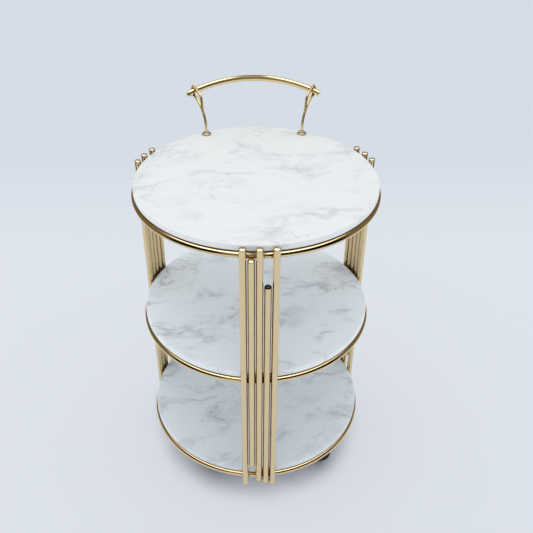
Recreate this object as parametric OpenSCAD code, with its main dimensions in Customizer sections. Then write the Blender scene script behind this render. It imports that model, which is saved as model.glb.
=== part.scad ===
// Round three-tier tea trolley: marble discs on bar hoops, clustered rods, arched handle and swivel casters
// The hoops share one upright axis. The front faces -Y, the handle is at +Y and the floor is Z = 0.

/* [Hoops] */
// Outer diameter of each hoop
hoop_d = 450; // [430:1:480]
// Diameter of the round bar the hoops are bent from
hoop_bar_d = 12; // [11:0.5:13]
// Height from the bottom hoop's centre to the middle hoop's centre
lower_gap = 262; // [230:1:320]
// Height from the middle hoop's centre to the top hoop's centre
upper_gap = 272; // [230:1:320]

/* [Marble discs] */
// How far each disc's edge stays inside the hoop's outer edge
disc_inset = 4; // [3:0.5:6]
// Thickness of each disc
disc_t = 12; // [11:0.5:15]
// Rounding of each disc's edges
disc_edge_r = 2.5; // [1:0.5:4]

/* [Disc supports] */
// Angle of the first welded tab from the front
tab_angle = 60; // [56:1:68]
// Radial length of a tab
tab_l = 18; // [16:1:22]
// Width of a tab
tab_w = 16; // [12:1:20]
// Thickness of a tab
tab_t = 3; // [2:0.5:4]
// Thickness of the soft pad between a tab and its disc
pad_t = 1; // [0.5:0.5:2]
// Diameter of the pad
pad_d = 13; // [10:1:16]
// Diameter of the screw through each tab
screw_d = 4; // [3:0.5:5]
// Depth of the screw in the disc
screw_grip = 7; // [5:0.5:8]

/* [Rods] */
// Outer diameter of the rods
rod_d = 12; // [10:0.5:13]
// Wall of the rods
rod_wall = 1; // [0.8:0.1:2]
// Clear space between neighbouring rods
rod_gap = 1.4; // [0.8:0.1:4]
// Angle from the front cluster to each rear cluster
cluster_angle = 114; // [105:1:125]
// How far the tall rods' tubes stop below the top disc's face
tall_top = 0.5; // [0:0.5:6]
// How far the first and fifth rods run below the bottom hoop's centre
tall_drop = 14.5; // [6:0.5:18]
// How far the third rod runs below the bottom hoop's centre
centre_drop = 1; // [0:0.5:4]
// How far the second rod stops below the top hoop's centre
second_top = 3; // [1:0.5:8]
// How far the second rod stops above the bottom hoop's centre
second_lift = 44; // [20:0.5:80]
// How far the fourth rod stops below the top hoop's centre
fourth_top = 54.5; // [20:0.5:90]
// How far the fourth rod runs below the bottom hoop's centre
fourth_drop = 7.5; // [4:0.5:10]
// Height of a metal rod cap's dome
cap_dome = 2; // [1:0.2:5]
// Height of the rounded head of the black plug
plug_dome = 4; // [2:0.5:6]
// Length of a rod cap's spigot in the rod
spigot_l = 8; // [5:0.5:12]

/* [Handle] */
// Outer diameter of the handle bar
bar_d = 12; // [10:0.5:14]
// Wall of the handle bar
bar_wall = 1; // [0.8:0.1:2]
// Radius of the bar's arc
bar_arc_r = 285; // [240:5:340]
// Tilt of the arc's plane from the floor
bar_tilt = 52; // [35:1:70]
// Length of bar past each support, along the arc
bar_end_l = 11.5; // [10:0.5:20]
// Height of the bar's centre at a support, above the top disc's face
bar_rise = 72.5; // [65:0.5:90]
// How far the bar at a support stands out past the support's foot
bar_reach = 51; // [40:1:60]
// Angle of each foot from the rear
foot_angle = 27.6; // [22:0.1:32]
// Distance of each foot in from the disc's edge
foot_inset = 14; // [13:0.5:18]
// Diameter of the support rod
support_d = 5; // [4:0.5:6]
// Height above the disc's face where the support starts to bend
support_bend_h = 9; // [8:0.5:14]
// Lean of the support where it runs under the bar
support_lean = 78; // [72:1:82]
// Lean of the support where the loop's end comes back and is welded to it
join_lean = 42; // [36:1:48]
// Lean of the loop's end there
loop_end_lean = 10; // [4:1:16]
// Radius of the bend between the bar and the loop's end
crook_r = 16; // [10:1:20]
// Diameter of the flange at the foot
flange_d = 18; // [15:0.5:20]
// Thickness of the flange
flange_t = 2.5; // [2:0.5:4]
// Height of the flange's collar above its plate
flange_collar_h = 4.5; // [3:0.5:5]
// Size across the flats of the nut under the disc
foot_nut_af = 8; // [7:0.5:8.5]
// Thickness of that nut
foot_nut_t = 4; // [3:0.5:4.5]
// Diameter of the washer above that nut
foot_washer_d = 10; // [9:0.5:11]

/* [Handle bar caps] */
// How much wider than the bar its end caps are
bar_cap_lip = 0.5; // [0.2:0.1:1]
// Thickness of an end cap
bar_cap_t = 2.5; // [2:0.5:4]
// Length of an end cap's spigot in the bar
bar_spigot_l = 6; // [4:0.5:8]

/* [Casters] */
// Diameter of the wheels
wheel_d = 48; // [40:1:60]
// Width of the tyre
tyre_w = 20; // [16:1:24]
// Radial thickness of the tyre
tyre_t = 7; // [5:0.5:8]
// Horizontal distance from the stem to the axle
trail = 18; // [14:1:20]
// Distance from each stem to the outer end of its bracket
bracket_reach = 40; // [32:1:46]
// Angle of the front stems from the front, and of the rear stems from the rear
caster_angle = 41; // [36:1:46]
// Thickness of the fork's crown
crown_t = 3; // [2.5:0.5:4]
// Thickness of the fork's cheeks
cheek_t = 2.5; // [2:0.5:3.5]
// Diameter of the axle
axle_d = 6; // [5:0.5:8]
// Diameter of the threaded stem
stem_d = 8; // [6:0.5:10]
// Height of the collar on the stem
collar_t = 4; // [3:0.5:6]
// Diameter of the collar on the stem
collar_d = 22; // [20:1:26]
// Thickness of the swivel washer
swivel_washer_t = 1; // [0.5:0.5:2]
// Thickness of the bracket under the bottom disc
bracket_t = 4; // [3:0.5:5]
// Width of the bracket
bracket_w = 40; // [34:1:46]
// Size across the flats of the stem's nut
stem_nut_af = 13; // [13:0.5:17]
// Thickness of the stem's nut
stem_nut_t = 5; // [4:0.5:5.5]

/* [Clearances] */
// Gap that a weld fills between two bars
weld_gap = 0.1; // [0.05:0.05:0.3]
// Radial gap of a spigot in its tube
spigot_fit = 0.05; // [0.05:0.01:0.1]
// Radial gap of a screw or stud in its hole
screw_fit = 0.1; // [0.05:0.05:0.3]
// Radial running gap of an axle in its wheel and of a stem in its fork
running_fit = 0.07; // [0.03:0.01:0.1]
// Gap between the handle bar and the loops round it
loop_fit = 0.15; // [0.1:0.05:0.3]
// Gap between a turning part and what it turns beside
side_gap = 0.3; // [0.2:0.1:0.6]
// Gap between the wheel and the crown of its fork
crown_gap = 4; // [3:0.5:6]

/* [Hidden] */
$fn = 96;

// How far a cutting shape runs past the face it cuts
cut = 1;

// Hoops, from the floor up
hoop_bar_r = hoop_bar_d / 2;
hoop_r = hoop_d / 2 - hoop_bar_r;
// How far a bracket's top face lies below its hoop's centre
bracket_seat = 1;
crown_z = wheel_d + crown_gap;
swivel_z = crown_z + crown_t + side_gap;
collar_z = swivel_z + swivel_washer_t;
bracket_z = collar_z + collar_t;
bottom_z = bracket_z + bracket_t + bracket_seat;
middle_z = bottom_z + lower_gap;
top_z = middle_z + upper_gap;

// Discs
disc_r = hoop_d / 2 - disc_inset;
disc_seat = hoop_bar_r + pad_t;
top_face = top_z + disc_seat + disc_t;

// Tabs: three round each hoop, evenly spread
tab_angles = [for (i = [0:2]) tab_angle + 120 * i];
tab_end_r = hoop_r - hoop_bar_r * cos(asin((hoop_bar_r - tab_t) / hoop_bar_r)) - weld_gap;
tab_hole_r = tab_end_r - tab_l / 2;
screw_head_d = 2 * screw_d - 0.5;
screw_head_t = 0.6 * screw_d;
screw_tip_gap = 1;

// Rods
rod_r = rod_d / 2;
rod_ring_r = hoop_r + hoop_bar_r + weld_gap + rod_r;
rod_step = 2 * asin((rod_d + rod_gap) / 2 / rod_ring_r);
rod_tops = [
    top_face - tall_top,
    top_z - second_top,
    top_face - tall_top,
    top_z - fourth_top,
    top_face - tall_top
];
rod_bottoms = [
    bottom_z - tall_drop,
    bottom_z + second_lift,
    bottom_z - centre_drop,
    bottom_z - fourth_drop,
    bottom_z - tall_drop
];

// Handle: the bar's arc passes through the two supports, bowed back and up in a tilted plane
bar_r = bar_d / 2;
support_r = support_d / 2;
foot_azimuth = 180 - foot_angle;
foot_r = disc_r - foot_inset;
loop_z = top_face + bar_rise;
loop_x = (foot_r + bar_reach) * sin(foot_azimuth);
loop_y = -(foot_r + bar_reach) * cos(foot_azimuth);
arc_half = asin(loop_x / bar_arc_r);
arc_end = arc_half + bar_end_l / bar_arc_r * 180 / PI;
arc_centre = [
    0,
    loop_y - bar_arc_r * cos(arc_half) * cos(bar_tilt),
    loop_z - bar_arc_r * cos(arc_half) * sin(bar_tilt)
];
bar_back = arc_centre[1] + bar_arc_r * cos(bar_tilt) + bar_r;
bar_spigot_gap = 3 * spigot_fit;

// Support: a long bend out under the bar, a loop back over it and a straight end down to its weld
bar_cross = cos(arc_half) * -cos(foot_azimuth) + sin(arc_half) * cos(bar_tilt) * sin(foot_azimuth);
loop_r = (bar_r + support_r + loop_fit) / bar_cross;
// Places and directions in the foot's upright plane: out from the foot, then up from the disc's face
out_run = [sin(support_lean), cos(support_lean)];
end_run = [sin(loop_end_lean), cos(loop_end_lean)];
bar_place = [bar_reach, bar_rise];
bend_rise = bar_rise - support_bend_h;
support_bend_r = (bend_rise * out_run[0] - bar_reach * out_run[1] - loop_r) / (1 - out_run[1]);
bend_end = [support_bend_r * (1 - out_run[1]), support_bend_h + support_bend_r * out_run[0]];
under_l = (bar_place - bend_end) * out_run;
weld_place = [support_bend_r * (1 - cos(join_lean)), support_bend_h + support_bend_r * sin(join_lean)];
over_place = bar_place + loop_r * [-out_run[1], out_run[0]];
crook_turn = support_lean - loop_end_lean;
crook_l = crook_r * tan(crook_turn / 2);
weld_to_over = over_place - weld_place;
over_l = (weld_to_over[0] * end_run[1] - weld_to_over[1] * end_run[0]) / sin(crook_turn) - crook_l;
loop_end_l = (weld_to_over[1] * out_run[0] - weld_to_over[0] * out_run[1]) / sin(crook_turn) - crook_l;
foot_hole_gap = 3 * screw_fit;
collar_wall = 1.7;
weld_bead = 0.4;
bend_lap = 0.3;
bend_swell = 0.02;
stud_tip = 1.5;
foot_washer_t = 1;
stud_l = disc_t + foot_washer_t + foot_nut_t + stud_tip;

// The plan box of the whole trolley is centred on the origin
rod_front = rod_ring_r + rod_r;
axis_y = (rod_front - bar_back) / 2;

// Casters
wheel_r = wheel_d / 2;
core_r = wheel_r - tyre_t;
core_w = tyre_w + 1;
hub_r = 2.2 * axle_d / 2;
cheek_margin = 5;
cheek_r = axle_d / 2 + cheek_margin;
fork_w = core_w + 2 * side_gap + 2 * cheek_t;
crown_r = fork_w / 2 + 1.5;
tread_r = 0.4 * tyre_t;
rivet_d = axle_d + 4;
rivet_t = 2;
pin_head_d = stem_d + 3;
stem_tip = 1;
rim_t = 4;
rim_w = tyre_w - 2;
web_w = 7;
bracket_end_r = hoop_r - sqrt(hoop_bar_r * hoop_bar_r - bracket_seat * bracket_seat) - weld_gap;
caster_r = bracket_end_r - bracket_reach;
caster_azimuths = [caster_angle, -caster_angle, 180 - caster_angle, caster_angle - 180];

// Colours as photographed
gold = [0.80, 0.70, 0.51];
dark_gold = [0.66, 0.56, 0.38];
marble = [0.93, 0.94, 0.95];
black = [0.09, 0.09, 0.10];
steel = [0.72, 0.73, 0.74];
clear = [0.88, 0.88, 0.86];

// Moves what is drawn about the hoops' axis to its place in the trolley
module about_axis() {
    translate([0, axis_y, 0]) children();
}

// Puts a child's origin at a radius and an angle from the front, its X pointing outward
module at_angle(azimuth, r) {
    rotate([0, 0, azimuth - 90]) translate([r, 0, 0]) children();
}

// Flat round plate with rounded edges, standing on Z = 0
module rounded_plate(r, t, e) {
    rotate_extrude() {
        square([r - e, t]);
        translate([0, e]) square([r, t - 2 * e]);
        translate([r - e, e]) circle(e);
        translate([r - e, t - e]) circle(e);
    }
}

// Cutting shape for a round hole through a plate that stands on Z = 0
module round_hole(r, t) {
    translate([0, 0, -cut]) cylinder(r = r, h = t + 2 * cut);
}

module hoop(z) {
    color(gold) about_axis() translate([0, 0, z]) rotate_extrude() translate([hoop_r, 0]) circle(hoop_bar_r);
}

// Marble disc on the hoop whose centre height is z, with blind holes for the tab screws
module disc(z, foot_holes) {
    color(marble) about_axis() difference() {
        translate([0, 0, z + disc_seat]) rounded_plate(disc_r, disc_t, disc_edge_r);
        for (a = tab_angles)
            at_angle(a, tab_hole_r)
                translate([0, 0, z + disc_seat - cut])
                    cylinder(r = screw_d / 2 + screw_fit, h = screw_grip + screw_tip_gap + cut);
        if (foot_holes)
            for (side = [-1, 1])
                at_angle(side * foot_azimuth, foot_r)
                    translate([0, 0, z + disc_seat - cut])
                        cylinder(r = support_r + foot_hole_gap, h = disc_t + 2 * cut);
    }
}

// Three flat tabs inside a hoop, their outer ends cut to the hoop
module tabs(z) {
    color(dark_gold) about_axis()
        for (a = tab_angles)
            translate([0, 0, z + hoop_bar_r - tab_t])
                difference() {
                    intersection() {
                        cylinder(r = tab_end_r, h = tab_t);
                        at_angle(a, tab_end_r - tab_l)
                            translate([0, -tab_w / 2, 0]) cube([2 * tab_l, tab_w, tab_t]);
                    }
                    at_angle(a, tab_hole_r) round_hole(screw_d / 2 + screw_fit, tab_t);
                }
}

// Calls its children once for each tab on each hoop, at the tab's screw and its top face
module at_tabs() {
    for (z = [bottom_z, middle_z, top_z])
        for (a = tab_angles)
            at_angle(a, tab_hole_r) translate([0, 0, z + hoop_bar_r]) children();
}

module tab_screws() {
    color(steel) about_axis() at_tabs() {
        translate([0, 0, -tab_t]) cylinder(d = screw_d, h = tab_t + pad_t + screw_grip);
        translate([0, 0, -tab_t - screw_head_t]) cylinder(d = screw_head_d, h = screw_head_t);
    }
}

module disc_pads() {
    color(clear) about_axis() at_tabs() difference() {
        cylinder(d = pad_d, h = pad_t);
        round_hole(screw_d / 2 + screw_fit, pad_t);
    }
}

// Places a child on the axis of rod number i of the cluster centred on an angle
module at_rod(cluster, i) {
    about_axis() at_angle(cluster + (i - 3) * rod_step, rod_ring_r) children();
}

module rod(cluster, i) {
    length = rod_tops[i - 1] - rod_bottoms[i - 1];
    color(gold) at_rod(cluster, i) translate([0, 0, rod_bottoms[i - 1]]) difference() {
        cylinder(d = rod_d, h = length);
        round_hole(rod_r - rod_wall, length);
    }
}

// Cap with a spigot, its rim on Z = 0 and a dome of the given height upward
module rod_cap(dome) {
    dome_r = (rod_r * rod_r + dome * dome) / (2 * dome);
    translate([0, 0, -spigot_l]) cylinder(r = rod_r - rod_wall - spigot_fit, h = spigot_l + dome / 4);
    intersection() {
        translate([0, 0, dome - dome_r]) sphere(dome_r);
        cylinder(r = rod_d, h = rod_d);
    }
}

// Metal caps on every rod's bottom and on every top but the fourth rod's
module rod_caps(cluster) {
    color(gold) {
        for (i = [1, 2, 3, 5])
            at_rod(cluster, i) translate([0, 0, rod_tops[i - 1]]) rod_cap(cap_dome);
        for (i = [1:5])
            at_rod(cluster, i) translate([0, 0, rod_bottoms[i - 1]]) mirror([0, 0, 1]) rod_cap(cap_dome);
    }
}

// Black plugs with round heads in the tops of the fourth rods, the shortest ones
module short_rod_plugs() {
    color(black)
        for (cluster = [0, cluster_angle, -cluster_angle])
            at_rod(cluster, 4) translate([0, 0, rod_tops[3]]) rod_cap(plug_dome);
}

// Puts a child in the plane of the bar's arc, whose centre becomes the origin and whose top is +Y
module in_bar_plane() {
    about_axis() translate(arc_centre) rotate([bar_tilt, 0, 0]) children();
}

module handle_bar() {
    color(gold) in_bar_plane() rotate([0, 0, 90 - arc_end]) rotate_extrude(angle = 2 * arc_end)
        translate([bar_arc_r, 0]) difference() {
            circle(bar_r);
            circle(bar_r - bar_wall);
        }
}

// End cap of the bar: a rounded plate with a spigot, pointing along +Z
module bar_cap() {
    rounded_plate(bar_r + bar_cap_lip, bar_cap_t, bar_cap_t / 3);
    translate([0, 0, -bar_spigot_l])
        cylinder(r = bar_r - bar_wall - bar_spigot_gap, h = bar_spigot_l + bar_cap_t / 2);
}

module handle_bar_caps() {
    color(gold) in_bar_plane() for (side = [-1, 1])
        rotate([0, 0, -side * arc_end]) translate([0, bar_arc_r, 0]) rotate([0, side * 90, 0]) bar_cap();
}

// Bend of the support's bar from upright towards X, a hair thicker than the straights, so that they fuse
module bend(r, turn) {
    translate([r, 0, 0]) mirror([1, 0, 0]) rotate([90, 0, 0])
        rotate_extrude(angle = turn) translate([r, 0]) circle(support_r + bend_swell);
}

// Moves a child to the end of a bend
module after_bend(r, turn) {
    translate([r, 0, 0]) rotate([0, turn, 0]) translate([-r, 0, 0]) children();
}

// Straight length of the support's bar that laps into what is at its ends, with a child at its far end
module straight(length) {
    translate([0, 0, -bend_lap]) cylinder(r = support_r, h = length + 2 * bend_lap);
    translate([0, 0, length]) children();
}

// One support in its own upright plane: X outward, origin on the disc's face
module handle_support(side) {
    color(gold) about_axis() at_angle(side * foot_azimuth, foot_r) translate([0, 0, top_face]) {
        // stud through the disc, and the straight start
        translate([0, 0, -stud_l]) cylinder(r = support_r, h = stud_l + support_bend_h + bend_lap);
        translate([0, 0, support_bend_h]) {
            bend(support_bend_r, support_lean);
            after_bend(support_bend_r, join_lean) sphere(support_r + weld_bead);
            // out under the bar, then back over it and down to the weld, all bends turning the other way
            after_bend(support_bend_r, support_lean) straight(under_l) mirror([1, 0, 0]) {
                bend(loop_r, 180);
                after_bend(loop_r, 180) straight(over_l) {
                    bend(crook_r, crook_turn);
                    after_bend(crook_r, crook_turn) straight(loop_end_l);
                }
            }
        }
    }
}

module handle_flanges() {
    color(gold) about_axis() for (side = [-1, 1])
        at_angle(side * foot_azimuth, foot_r) translate([0, 0, top_face]) difference() {
            union() {
                rounded_plate(flange_d / 2, flange_t, flange_t / 3);
                cylinder(r = support_r + collar_wall, h = flange_t + flange_collar_h);
            }
            round_hole(support_r + screw_fit, flange_t + flange_collar_h);
        }
}

module handle_nuts() {
    color(steel) about_axis() for (side = [-1, 1])
        at_angle(side * foot_azimuth, foot_r) translate([0, 0, top_face - disc_t]) {
            translate([0, 0, -foot_washer_t]) difference() {
                cylinder(d = foot_washer_d, h = foot_washer_t);
                round_hole(support_r + screw_fit, foot_washer_t);
            }
            translate([0, 0, -foot_washer_t - foot_nut_t])
                hex_nut(foot_nut_af, foot_nut_t, support_r + screw_fit);
        }
}

// Hexagon nut with a flat facing X, standing on Z = 0
module hex_nut(af, t, hole_r) {
    difference() {
        rotate([0, 0, 30]) cylinder(r = af / 2 / cos(30), h = t, $fn = 6);
        round_hole(hole_r, t);
    }
}

// Puts a child at caster i's stem, on the floor, with the wheel trailing along +X
module at_caster(i) {
    a = caster_azimuths[i];
    about_axis() translate([caster_r * sin(a), -caster_r * cos(a), 0]) children();
}

// Four plates under the bottom disc, each rounded about its stem and cut to the hoop
module caster_brackets() {
    color(dark_gold) about_axis() for (a = caster_azimuths)
        translate([0, 0, bracket_z]) difference() {
            intersection() {
                cylinder(r = bracket_end_r, h = bracket_t);
                at_angle(a, caster_r) union() {
                    cylinder(d = bracket_w, h = bracket_t);
                    translate([0, -bracket_w / 2, 0]) cube([2 * bracket_reach, bracket_w, bracket_t]);
                }
            }
            at_angle(a, caster_r) round_hole(stem_d / 2 + screw_fit, bracket_t);
        }
}

module caster_nuts() {
    color(steel) for (i = [0:3])
        at_caster(i) translate([0, 0, bracket_z + bracket_t])
            hex_nut(stem_nut_af, stem_nut_t, stem_d / 2 + screw_fit);
}

module swivel_washers() {
    color(steel) for (i = [0:3])
        at_caster(i) translate([0, 0, swivel_z]) difference() {
            cylinder(d = collar_d, h = swivel_washer_t);
            round_hole(stem_d / 2 + screw_fit, swivel_washer_t);
        }
}

// Threaded stem with its collar, and the pin and head that hold the fork
module caster_stem(i) {
    stem_top = bracket_z + bracket_t + stem_nut_t + stem_tip;
    pin_bottom = crown_z - side_gap - rivet_t;
    color(steel) at_caster(i) {
        translate([0, 0, pin_bottom]) cylinder(d = stem_d, h = stem_top - pin_bottom);
        translate([0, 0, pin_bottom]) cylinder(d = pin_head_d, h = rivet_t);
        translate([0, 0, collar_z]) cylinder(d = collar_d, h = collar_t);
    }
}

// One cheek of a fork, flat in the plane of the wheel
module cheek() {
    rotate([90, 0, 0]) linear_extrude(cheek_t) {
        translate([trail, wheel_r]) circle(cheek_r);
        polygon([
            [trail - cheek_r, wheel_r],
            [trail + cheek_r, wheel_r],
            [trail + cheek_r, crown_z + crown_t],
            [0, crown_z + crown_t],
            [0, crown_z - crown_gap]
        ]);
    }
}

module caster_fork(i) {
    color(black) at_caster(i) difference() {
        union() {
            translate([0, 0, crown_z]) cylinder(r = crown_r, h = crown_t);
            translate([0, -fork_w / 2, crown_z]) cube([trail + cheek_r, fork_w, crown_t]);
            translate([0, -fork_w / 2 + cheek_t, 0]) cheek();
            translate([0, fork_w / 2, 0]) cheek();
        }
        translate([0, 0, crown_z]) round_hole(stem_d / 2 + running_fit, crown_t);
        translate([trail, fork_w / 2, wheel_r]) rotate([90, 0, 0])
            round_hole(axle_d / 2 + spigot_fit, fork_w);
    }
}

module caster_axle(i) {
    color(steel) at_caster(i) translate([trail, 0, wheel_r]) rotate([90, 0, 0]) {
        cylinder(d = axle_d, h = fork_w + 2 * rivet_t, center = true);
        for (side = [-1, 1])
            translate([0, 0, side * (fork_w + rivet_t) / 2])
                cylinder(d = rivet_d, h = rivet_t, center = true);
    }
}

// Wheel core: hub, thin web and rim
module wheel_core(i) {
    bore_r = axle_d / 2 + running_fit;
    color(black) at_caster(i) translate([trail, 0, wheel_r]) rotate([90, 0, 0]) rotate_extrude() {
        translate([bore_r, -core_w / 2]) square([hub_r - bore_r, core_w]);
        translate([bore_r, -web_w / 2]) square([core_r - bore_r, web_w]);
        translate([core_r - rim_t, -rim_w / 2]) square([rim_t, rim_w]);
    }
}

module tyre(i) {
    inner_r = core_r + spigot_fit;
    color(black) at_caster(i) translate([trail, 0, wheel_r]) rotate([90, 0, 0]) rotate_extrude() {
        translate([inner_r, -tyre_w / 2]) square([wheel_r - tread_r - inner_r, tyre_w]);
        translate([inner_r, -tyre_w / 2 + tread_r]) square([wheel_r - inner_r, tyre_w - 2 * tread_r]);
        for (side = [-1, 1]) translate([wheel_r - tread_r, side * (tyre_w / 2 - tread_r)]) circle(tread_r);
    }
}

hoop(bottom_z);  // bottom_hoop
hoop(middle_z);  // middle_hoop
hoop(top_z);  // top_hoop
disc(bottom_z, false);  // bottom_disc
disc(middle_z, false);  // middle_disc
disc(top_z, true);  // top_disc
tabs(bottom_z);  // bottom_tabs
tabs(middle_z);  // middle_tabs
tabs(top_z);  // top_tabs
tab_screws();
disc_pads();
rod(0, 1);  // front_rod_1
rod(0, 2);  // front_rod_2
rod(0, 3);  // front_rod_3
rod(0, 4);  // front_rod_4
rod(0, 5);  // front_rod_5
rod_caps(0);  // front_rod_caps
rod(cluster_angle, 1);  // right_rod_1
rod(cluster_angle, 2);  // right_rod_2
rod(cluster_angle, 3);  // right_rod_3
rod(cluster_angle, 4);  // right_rod_4
rod(cluster_angle, 5);  // right_rod_5
rod_caps(cluster_angle);  // right_rod_caps
rod(-cluster_angle, 1);  // left_rod_1
rod(-cluster_angle, 2);  // left_rod_2
rod(-cluster_angle, 3);  // left_rod_3
rod(-cluster_angle, 4);  // left_rod_4
rod(-cluster_angle, 5);  // left_rod_5
rod_caps(-cluster_angle);  // left_rod_caps
short_rod_plugs();
handle_bar();
handle_bar_caps();
handle_support(1);  // handle_support_right
handle_support(-1);  // handle_support_left
handle_flanges();
handle_nuts();
caster_brackets();
caster_nuts();
swivel_washers();
caster_stem(0);  // stem_front_right
caster_fork(0);  // fork_front_right
caster_axle(0);  // axle_front_right
wheel_core(0);  // core_front_right
tyre(0);  // tyre_front_right
caster_stem(1);  // stem_front_left
caster_fork(1);  // fork_front_left
caster_axle(1);  // axle_front_left
wheel_core(1);  // core_front_left
tyre(1);  // tyre_front_left
caster_stem(2);  // stem_rear_right
caster_fork(2);  // fork_rear_right
caster_axle(2);  // axle_rear_right
wheel_core(2);  // core_rear_right
tyre(2);  // tyre_rear_right
caster_stem(3);  // stem_rear_left
caster_fork(3);  // fork_rear_left
caster_axle(3);  // axle_rear_left
wheel_core(3);  // core_rear_left
tyre(3);  // tyre_rear_left
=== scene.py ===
# Round tea trolley: marble discs on gold hoops, clusters of gold tubes, an arched handle and black casters
from math import acos, asin, atan2, cos, degrees, pi, radians, sin, sqrt, tan

import bmesh
import bpy
from mathutils import Matrix, Vector


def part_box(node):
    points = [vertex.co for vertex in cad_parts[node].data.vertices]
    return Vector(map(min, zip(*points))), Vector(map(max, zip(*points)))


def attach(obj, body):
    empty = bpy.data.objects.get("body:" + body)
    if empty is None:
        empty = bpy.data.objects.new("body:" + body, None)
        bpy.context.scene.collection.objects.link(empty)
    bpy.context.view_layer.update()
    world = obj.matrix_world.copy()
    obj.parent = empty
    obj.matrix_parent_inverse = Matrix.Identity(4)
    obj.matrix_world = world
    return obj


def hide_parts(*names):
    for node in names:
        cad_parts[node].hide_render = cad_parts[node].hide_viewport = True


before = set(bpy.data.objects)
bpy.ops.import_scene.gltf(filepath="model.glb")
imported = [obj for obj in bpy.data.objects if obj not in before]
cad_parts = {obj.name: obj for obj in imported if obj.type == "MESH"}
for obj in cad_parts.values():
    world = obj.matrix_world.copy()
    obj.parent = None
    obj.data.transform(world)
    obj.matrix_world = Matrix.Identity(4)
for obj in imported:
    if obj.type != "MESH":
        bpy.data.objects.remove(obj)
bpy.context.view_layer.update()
mm = 0.001  # every size below is in millimetres times this


# places read from the frame

def boxCentre(node):
    low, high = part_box(node)
    return (low + high) / 2


tiers = ("bottom", "middle", "top")
clusters = ("front", "right", "left")
corners = ("front_right", "front_left", "rear_right", "rear_left")
hoopAxis = Vector((boxCentre("top_hoop").x, boxCentre("top_hoop").y, 0))
tierHeight = {tier: boxCentre(tier + "_hoop").z for tier in tiers}
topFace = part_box("top_disc")[1].z


# helpers for node trees

def linearColour(hexCode):
    channels = [int(hexCode[i:i + 2], 16) / 255 for i in (0, 2, 4)]
    return tuple(c / 12.92 if c <= 0.04045 else ((c + 0.055) / 1.055) ** 2.4 for c in channels) + (1.0,)


def setInputs(tree, node, inputs):
    # a socket is linked, and anything else becomes the input's own value
    for key, value in inputs.items():
        if isinstance(value, bpy.types.NodeSocket):
            tree.links.new(value, node.inputs[key])
        else:
            node.inputs[key].default_value = value


def addNode(tree, kind, props=None, inputs=None):
    node = tree.nodes.new(kind)
    for name, value in (props or {}).items():
        setattr(node, name, value)
    setInputs(tree, node, inputs or {})
    return node


def calculate(tree, operation, *values):
    return addNode(tree, "ShaderNodeMath", {"operation": operation}, dict(enumerate(values))).outputs[0]


def mapRange(tree, value, fromLow, fromHigh, toLow, toHigh):
    return addNode(tree, "ShaderNodeMapRange", inputs={
        "Value": value, "From Min": fromLow, "From Max": fromHigh, "To Min": toLow, "To Max": toHigh,
    }).outputs["Result"]


def blend(tree, factor, first, second):
    # all of the first colour at factor 0 and all of the second at 1
    return addNode(tree, "ShaderNodeMix", {"data_type": "RGBA"}, {
        0: factor, 6: first, 7: second}).outputs[2]


def addNoise(tree, place, width, detail, roughness=0.5):
    # a cloudy pattern in patches of about this width
    return addNode(tree, "ShaderNodeTexNoise", inputs={
        "Vector": place, "Scale": 1 / width, "Detail": detail, "Roughness": roughness}).outputs


def bumped(tree, height, depth, strength):
    return addNode(tree, "ShaderNodeBump", inputs={
        "Strength": strength, "Distance": depth, "Height": height}).outputs["Normal"]


def openness(tree, reach, samples):
    # 1 in the open, towards 0 where something within reach hides the surface
    return addNode(tree, "ShaderNodeAmbientOcclusion", {"samples": samples}, {
        "Distance": reach}).outputs["AO"]


def startMaterial(name):
    material = bpy.data.materials.new(name)
    material.use_nodes = True
    tree = material.node_tree
    tree.nodes.clear()
    shader = addNode(tree, "ShaderNodeBsdfPrincipled")
    addNode(tree, "ShaderNodeOutputMaterial", inputs={"Surface": shader.outputs["BSDF"]})
    place = addNode(tree, "ShaderNodeTexCoord").outputs["Object"]
    return material, tree, shader, place


# materials

def polishedGoldPlate(name="polished champagne gold plate", colour="EAD4A8", roughness=(0.05, 0.12)):
    # plating on buffed steel: bright, with painted shade that turns it browner, and near black in the
    # deepest crevices, where nearby parts hide the surface
    finish = {"crevice": "A8701A", "creviceOpen": (0.55, 0.92),
              "deepest": "1E1509", "deepestOpen": (0.2, 0.48), "reach": 6 * mm,
              "smudge": 16 * mm, "ripple": 5 * mm, "depth": 0.012 * mm}
    material, tree, shader, place = startMaterial(name)
    exposed = openness(tree, finish["reach"], 8)
    plated = linearColour(colour)
    # painted shade: the colour is browned and then darkened where the surface is hidden
    for paintedShade in ("crevice", "deepest"):
        hidden = mapRange(tree, exposed, *finish[paintedShade + "Open"], 1, 0)
        plated = blend(tree, hidden, plated, linearColour(finish[paintedShade]))
    smudges = addNoise(tree, place, finish["smudge"], 4, 0.6)["Fac"]
    ripple = addNoise(tree, place, finish["ripple"], 2)["Fac"]
    setInputs(tree, shader, {
        "Base Color": plated, "Metallic": 1,
        "Roughness": mapRange(tree, smudges, 0.35, 0.7, *roughness),
        "Normal": bumped(tree, ripple, finish["depth"], 0.6)})
    return material


def satinGoldPlate():
    # the same plating on unbuffed plate and welds: duller, with a fine grain from the rolled sheet
    finish = {"colour": "C9AE7C", "grain": 0.8 * mm, "roughness": (0.34, 0.46), "depth": 0.02 * mm}
    material, tree, shader, place = startMaterial("satin gold plate")
    grain = addNoise(tree, place, finish["grain"], 3, 0.7)["Fac"]
    setInputs(tree, shader, {
        "Base Color": linearColour(finish["colour"]), "Metallic": 1,
        "Roughness": mapRange(tree, grain, 0.3, 0.7, *finish["roughness"]),
        "Normal": bumped(tree, grain, finish["depth"], 0.8)})
    return material


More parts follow.
